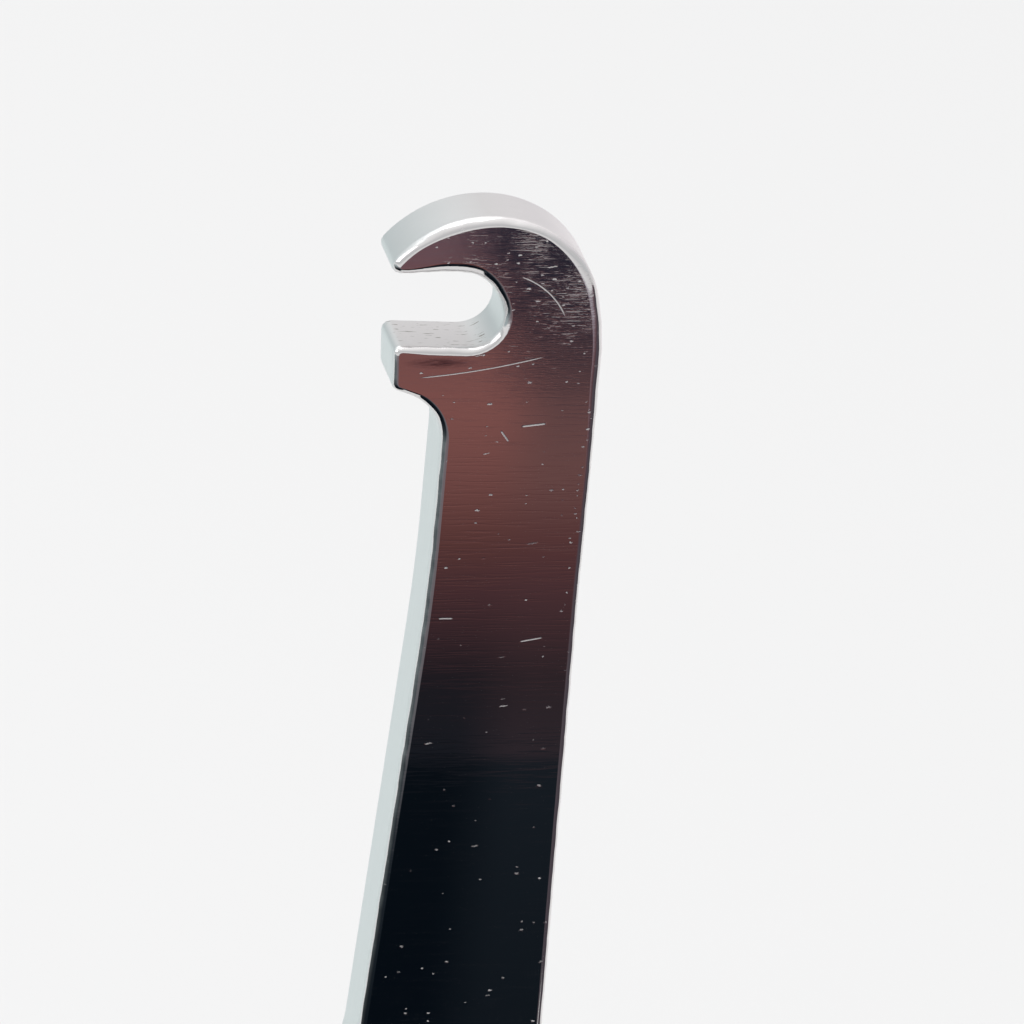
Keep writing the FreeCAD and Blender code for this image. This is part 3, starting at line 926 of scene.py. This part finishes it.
# %% [markdown]
# ## The marker's finishes
# The coin is steel with bright nickel plate. Its enamels are air-dried colours, matt under a clear
# cast resin cap, and the magnet has the greyer nickel of a sintered part.

# %% Nickel, enamel, resin and adhesive
nickel, tree, shader, in_mm = finish_material("bright_nickel_plate")
shader.inputs["Metallic"].default_value = 1.0
shader.inputs["Base Color"].default_value = colour("#D8D3C8")
handling = streaks(tree, in_mm, (0.7, 0.7, 0.7), 0.55, 0.2)
roughness = add(tree, "Math", {0: handling, 1: 0.12, 2: 0.12}, operation="MULTIPLY_ADD")
tree.links.new(roughness.outputs[0], shader.inputs["Roughness"])

sintered, tree, shader, in_mm = finish_material("sintered_magnet_nickel")
shader.inputs["Metallic"].default_value = 1.0
shader.inputs["Base Color"].default_value = colour("#C4C0B8")
grain = add(tree, "TexNoise", {"Vector": in_mm, "Scale": 3.0, "Detail": 4.0})
roughness = add(tree, "Math", {0: grain, 1: 0.25, 2: 0.15}, operation="MULTIPLY_ADD")
tree.links.new(roughness.outputs[0], shader.inputs["Roughness"])
bump = add(tree, "Bump", {"Height": grain, "Strength": 0.15, "Distance": 0.02 * MM})
tree.links.new(bump.outputs[0], shader.inputs["Normal"])


def enamel(name, light, dark, speck):
    """Air-dried enamel: a colour that varies a little over speck millimetres."""
    material, tree, shader, in_mm = finish_material(name)
    cloud = add(tree, "TexNoise", {"Vector": in_mm, "Scale": 1 / speck, "Detail": 3.0})
    tone = add(tree, "Mix", {"Factor": cloud, "A": colour(dark), "B": colour(light)}, data_type="RGBA")
    tree.links.new(tone.outputs[2], shader.inputs["Base Color"])
    shader.inputs["Roughness"].default_value = 0.32
    bump = add(tree, "Bump", {"Height": cloud, "Strength": 0.1, "Distance": 0.02 * MM})
    tree.links.new(bump.outputs[0], shader.inputs["Normal"])
    return material


band_enamel = enamel("ivory_soft_enamel", "#ECE8DC", "#E0DBCC", 0.8)
field_enamel = enamel("green_soft_enamel", "#0E5A38", "#0A4A2D", 0.8)

resin, tree, shader, in_mm = finish_material("clear_epoxy_resin")
shader.inputs["Base Color"].default_value = colour("#FFFFFF")
shader.inputs["Transmission Weight"].default_value = 1.0
shader.inputs["Roughness"].default_value = 0.02
shader.inputs["IOR"].default_value = 1.5

epoxy, tree, shader, in_mm = finish_material("cured_dark_epoxy")
shader.inputs["Base Color"].default_value = colour("#2B2724")
cloud = add(tree, "TexNoise", {"Vector": in_mm, "Scale": 6.0})
roughness = add(tree, "Math", {0: cloud, 1: 0.2, 2: 0.35}, operation="MULTIPLY_ADD")
tree.links.new(roughness.outputs[0], shader.inputs["Roughness"])
print("five finishes ready")

# %% [markdown]
# ## Put each piece on its body
# A piece rides on the body that carries it and takes the place of the plain node.

# %% Assign finishes, bodies and nodes
for piece, material, body, node, slot in (
        (plate, steel, "tool", "tool_body", "polished_steel"),
        (magnet, sintered, "tool", "seat_magnet", "magnet_nickel"),
        (bond, epoxy, "tool", "magnet_adhesive", "cured_adhesive"),
        (coin, nickel, "marker", "marker_coin", "coin_plating"),
        (band, band_enamel, "marker", "marker_enamel_band", "band_enamel"),
        (field, field_enamel, "marker", "marker_enamel_field", "field_enamel"),
        (dome, resin, "marker", "marker_dome", "clear_resin")):
    piece.data.materials.clear()
    piece.data.materials.append(material)
    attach(piece, body)
    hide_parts(node)
    print(piece.name, len(piece.data.polygons), "faces")

# %% [markdown]
# ## The studio
# A mirror shows the room, so the room is half of the picture. The tool stands on a pale sweep in a
# pale room. In front of it lies a dark mat, which only reflections see: the buffed face mirrors the
# floor before it, and that mat gives it its depth, from black at the foot of the shank to warm brown
# at the hook.

# %% The camera: a long lens from the tool's left and above
scene = bpy.context.scene
scene.view_settings.view_transform = "Standard"
azimuth = math.radians(-15.8)
elevation = math.radians(27.7)
roll = math.radians(6.9)
distance = 0.8
towards_camera = Vector((math.sin(azimuth) * math.cos(elevation),
                         -math.cos(azimuth) * math.cos(elevation), math.sin(elevation)))
level = Vector((math.cos(azimuth), math.sin(azimuth), 0.0))
upright = towards_camera.cross(level)
across = level * math.cos(roll) + upright * math.sin(roll)
upwards = upright * math.cos(roll) - level * math.sin(roll)
hook_place = Vector((-4.1, -half_plate, slot_height)) * MM
hook_left = 2.32                    # how far the hook is left of the view's centre, and above it
hook_up = 12.77
aim = hook_place + across * hook_left * MM - upwards * hook_up * MM

camera_data = bpy.data.cameras.new("camera")
camera = bpy.data.objects.new("camera", camera_data)
scene.collection.objects.link(camera)
scene.camera = camera
camera_data.lens = 439
camera_data.sensor_width = 36
camera_data.clip_start = 0.01
camera_data.clip_end = 20
eye = aim + towards_camera * distance
camera.matrix_world = Matrix((
    (across.x, upwards.x, towards_camera.x, eye.x),
    (across.y, upwards.y, towards_camera.y, eye.y),
    (across.z, upwards.z, towards_camera.z, eye.z),
    (0, 0, 0, 1)))
print("camera at", [round(v, 3) for v in eye])

# %% The pale floor
bpy.ops.object.select_all(action="DESELECT")
bpy.ops.mesh.primitive_plane_add(size=6.0, location=(0, 0, 0))
sweep = bpy.context.object
sweep.name = "floor"
pale, tree, shader, in_mm = finish_material("pale_paper_sweep")
shader.inputs["Base Color"].default_value = colour("#D7D7D7")
shader.inputs["Roughness"].default_value = 0.9
shader.inputs["Specular IOR Level"].default_value = 0.1
sweep.data.materials.append(pale)
print("floor laid")

# %% [markdown]
# The mat is drawn where the camera would see it in the buffed face. A place on the face at height z
# mirrors the floor at a reach in front of the tool that grows with z, so each of the mat's colours is
# given by the height on the tool at which it shows. Its two wings are paler, and are what the edges'
# rounding mirrors, and so is the apron nearest the tool, which the rounding of the slot's roof sees.

# %% The mat that the face mirrors
mirror_y = -half_plate * MM
mirrored_eye = Vector((eye.x, 2 * mirror_y - eye.y, eye.z))
MAT_Z = 1.0 * MM


def mirrored_in_face(x, z):
    """The place on the mat that shows at (x, z), in millimetres, on the front face."""
    seen = Vector((x * MM, mirror_y, z * MM))
    ray = seen - mirrored_eye
    return mirrored_eye + ray * ((MAT_Z - mirrored_eye.z) / ray.z)


MAT_LOW = slot_height - 61.0       # heights on the tool between which the mat shows
MAT_HIGH = slot_height + 16.0
APRON = -0.015                      # the mat's near end, in metres: pale but for its left wing
LEFT_WING = -0.55
RIGHT_WING = 0.95
near_edge = mirrored_in_face(0, MAT_LOW).y
far_edge = mirrored_in_face(0, MAT_HIGH).y
lean = (mirrored_in_face(0, MAT_HIGH).x - mirrored_in_face(0, MAT_LOW).x) / (far_edge - near_edge)
middle_x = mirrored_in_face(0, MAT_LOW).x - lean * near_edge
print(f"mat from {near_edge:.3f} to {far_edge:.3f} m, lean {lean:.3f}")


# %% The mat's colours as they show in the steel
STEEL_MIRRORS = 0.72                # share of a colour that the buffed face gives back


def as_mirrored(hex_code):
    """The colour that shows as this one in the steel."""
    return tuple(c / STEEL_MIRRORS for c in colour(hex_code)[:3]) + (1.0,)


def mat_share(height):
    """How far along the mat lies what shows at a height above the slot: 0 near the tool, 1 far off."""
    return (mirrored_in_face(0, slot_height + height).y - near_edge) / (far_edge - near_edge)


def by_height(pairs):
    """Ramp stops from pairs of a height above the slot and a colour as it should show."""
    return [(mat_share(height), as_mirrored(hex_code)) for height, hex_code in sorted(pairs)]


mat_material = bpy.data.materials.new("dark_mat_for_reflections")
mat_material.use_nodes = True
tree = mat_material.node_tree
tree.nodes.clear()
spot = add(tree, "SeparateXYZ", {0: add(tree, "TexCoord").outputs["Object"]})
share = add(tree, "MapRange", {"Value": spot.outputs["Y"], "From Min": near_edge, "From Max": far_edge})
middle = add(tree, "Math", {0: spot.outputs["Y"], 1: lean, 2: middle_x}, operation="MULTIPLY_ADD")
sideways = add(tree, "Math", {0: spot.outputs["X"], 1: middle}, operation="SUBTRACT")
left_tones = add(tree, "ValToRGB", {0: share}, stops=by_height([
    (-59, "#050B12"), (-33.1, "#080E14"), (-33, "#171A20"), (-27, "#1B1A1F"), (-20, "#452D30"),
    (-17, "#533533"), (-12, "#6C4643"), (-7, "#7A4F4B"), (-2, "#704A48"), (3, "#664A50"),
    (8, "#5E4E56"), (16, "#4A4450")]))
right_tones = add(tree, "ValToRGB", {0: share}, stops=by_height([
    (-59, "#0E141A"), (-33.1, "#161C22"), (-33, "#2C262B"), (-27, "#2A2226"), (-20, "#472F32"),
    (-17, "#523434"), (-12, "#644644"), (-7, "#5E4343"), (-3, "#3C3036"), (1, "#26242E"),
    (8, "#22222E"), (16, "#282834")]))
left_edge_tones = add(tree, "ValToRGB", {0: share}, stops=by_height([
    (-59, "#0C1218"), (-37, "#1C2228"), (-26, "#5C5C60"), (-12, "#6C6266"), (0, "#6A5C60"),
    (8, "#8A8488")]))
right_edge_tones = add(tree, "ValToRGB", {0: share}, stops=by_height([
    (-59, "#443E44"), (-33, "#4C454B"), (-20, "#4E393E"), (-9, "#6A5256"), (-2, "#7C6E76"),
    (6, "#8C8690")]))
print("mat tones:", len(left_tones.color_ramp.elements), "on the left")


# %% Lay the tones side by side on the mat
def blend(edge, width, left, right, source=sideways):
    """Colours that change from left to right across an edge of the mat, at sideways places in mm."""
    weight = add(tree, "MapRange", {"Value": source, "From Min": (edge - width / 2) * MM,
                                    "From Max": (edge + width / 2) * MM},
                 interpolation_type="SMOOTHSTEP")
    return add(tree, "Mix", {"Factor": weight, "A": left, "B": right}, data_type="RGBA").outputs[2]


bent = add(tree, "MapRange", {"Value": share, "From Min": mat_share(-6), "From Max": mat_share(5),
                              "To Max": 6.5 * MM})
bent_sideways = add(tree, "Math", {0: sideways, 1: bent}, operation="ADD")
middle_tones = blend(0, 6, left_tones, right_tones, bent_sideways)
left_wing = blend(-220, 300, as_mirrored("#9AA4A6"), left_edge_tones)
wings = blend(0, 8, left_wing, right_edge_tones)
tones = blend(11, 4, blend(-16, 4, wings, middle_tones), wings)
near = add(tree, "Math", {0: spot.outputs["Y"], 1: near_edge}, operation="GREATER_THAN")
right_of = add(tree, "Math", {0: sideways, 1: -20 * MM}, operation="GREATER_THAN")
left_of = add(tree, "Math", {0: sideways, 1: 60 * MM}, operation="LESS_THAN")
apron = add(tree, "Math", {0: near, 1: right_of}, operation="MULTIPLY")
apron = add(tree, "Math", {0: apron, 1: left_of}, operation="MULTIPLY")
tones = add(tree, "Mix", {"Factor": apron, "A": tones, "B": colour("#F3F3F3")}, data_type="RGBA")
glow = add(tree, "Emission", {"Color": tones.outputs[2], "Strength": 1.0})
add(tree, "OutputMaterial", {"Surface": glow})

bpy.ops.object.select_all(action="DESELECT")
bpy.ops.mesh.primitive_plane_add(size=1.0)
mat = bpy.context.object
mat.name = "reflection_mat"
bpy.ops.object.mode_set(mode="EDIT")
bpy.ops.transform.resize(value=(RIGHT_WING - LEFT_WING, APRON - far_edge, 1))
bpy.ops.transform.translate(value=((LEFT_WING + RIGHT_WING) / 2, (APRON + far_edge) / 2, MAT_Z))
bpy.ops.object.mode_set(mode="OBJECT")
mat.data.materials.append(mat_material)
mat.visible_camera = False
mat.visible_diffuse = False
mat.visible_transmission = False
mat.visible_shadow = False
print("mat laid, seen by reflections only")

# %% Soft lights and the pale room
world = bpy.data.worlds.new("pale_room")
world.use_nodes = True
tree = world.node_tree
sky = add(tree, "SeparateXYZ", {0: add(tree, "TexCoord").outputs["Generated"]})
level_light = add(tree, "ValToRGB", {0: sky.outputs["Z"]}, stops=(
    (0.0, (0.66, 0.68, 0.69, 1)), (0.25, (0.71, 0.71, 0.72, 1)),
    (0.7, (0.99, 0.99, 0.99, 1)), (1.0, (1.25, 1.25, 1.25, 1))))
background = tree.nodes["Background"]
tree.links.new(level_light.outputs[0], background.inputs["Color"])
background.inputs["Strength"].default_value = 1.0
scene.world = world


def soft_box(name, place, size, watts):
    """A square soft light at place, in metres, facing the tool."""
    light = bpy.data.lights.new(name, "AREA")
    light.shape = "SQUARE"
    light.size = size
    light.energy = watts
    lamp = bpy.data.objects.new(name, light)
    scene.collection.objects.link(lamp)
    lamp.location = place
    lamp.rotation_euler = (Vector((0, 0, 0.08)) - Vector(place)).to_track_quat("-Z", "Y").to_euler()
    return lamp


soft_box("overhead", (-0.2, 0.1, 1.3), 1.0, 6.0)
soft_box("left_window", (-1.1, -0.5, 0.7), 0.8, 3.0)
print("studio ready")
